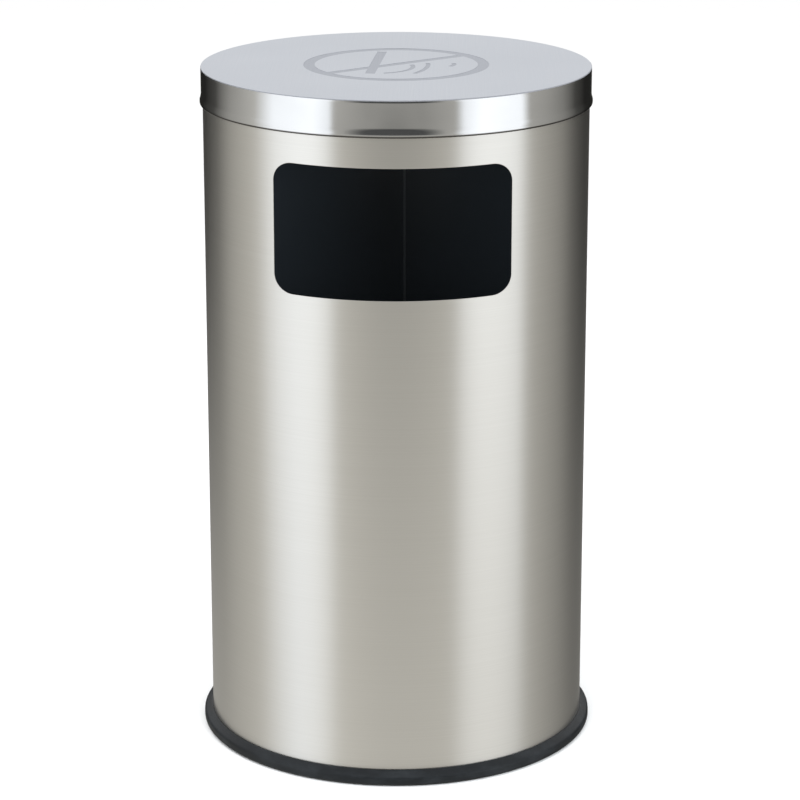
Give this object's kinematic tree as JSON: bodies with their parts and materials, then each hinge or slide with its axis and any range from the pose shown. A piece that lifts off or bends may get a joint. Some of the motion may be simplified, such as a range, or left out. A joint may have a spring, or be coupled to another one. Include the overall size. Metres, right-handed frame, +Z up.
{
  "type": "litter bin",
  "caption": "Round stainless steel litter bin with a side opening, lift-off lid with a polished band, black lift-out liner and a rubber base ring.",
  "frame": {"origin": "on the floor at the axis of the round body", "axes": "+Z up along the body's axis, the opening faces -Y, +X to the right seen from the front"},
  "size_m": [0.3976, 0.3976, 0.68],
  "materials": {
    "brushed_stainless": "fine brushed stainless steel",
    "satin_stainless": "satin stainless steel with an etched roundel",
    "polished_stainless": "mirror polished stainless steel",
    "galvanised_steel": "galvanised sheet with a soft spangle",
    "zinc_plated_steel": "bright zinc plated",
    "black_powder_coat": "semi-gloss black powder coat",
    "black_rubber": "smooth extruded black rubber",
    "black_plastic": "matte black plastic sleeve"
  },
  "bodies": {
    "housing": {"outer_shell": "brushed_stainless", "mouth_hoop": "galvanised_steel", "base_pan": "galvanised_steel", "base_ring": "black_rubber", "rest_pads": "black_rubber", "pad_rivets": "zinc_plated_steel", "key_channel": "galvanised_steel", "channel_rivets": "zinc_plated_steel"},
    "liner": {"liner_wall": "black_powder_coat", "liner_bottom": "black_powder_coat", "rim_wire": "zinc_plated_steel", "key_lug": "black_powder_coat", "handle_bracket_right": "black_powder_coat", "handle_bracket_left": "black_powder_coat", "bracket_rivets_right": "zinc_plated_steel", "bracket_rivets_left": "zinc_plated_steel"},
    "handle_right": {"handle_wire_right": "zinc_plated_steel", "handle_grip_right": "black_plastic"},
    "handle_left": {"handle_wire_left": "zinc_plated_steel", "handle_grip_left": "black_plastic"},
    "lid": {"lid_top": "satin_stainless", "lid_band": "polished_stainless", "lid_buffers": "black_rubber"}
  },
  "joints": [
    {"name": "liner_lift", "type": "slide", "parent": "housing", "child": "liner", "axis": [0, 0, 1], "range_m": [0, 0.65]},
    {"name": "lid_lift", "type": "slide", "parent": "liner", "child": "lid", "axis": [0, 0, 1], "range_m": [0, 0.25]},
    {"name": "handle_right_swing", "type": "hinge", "parent": "liner", "child": "handle_right", "pos_m": [0.163, 0, 0.629], "axis": [0, 1, 0], "range_deg": [-8, 186]},
    {"name": "handle_left_swing", "type": "hinge", "parent": "liner", "child": "handle_left", "pos_m": [-0.163, 0, 0.629], "axis": [0, -1, 0], "range_deg": [-8, 186]}
  ]
}
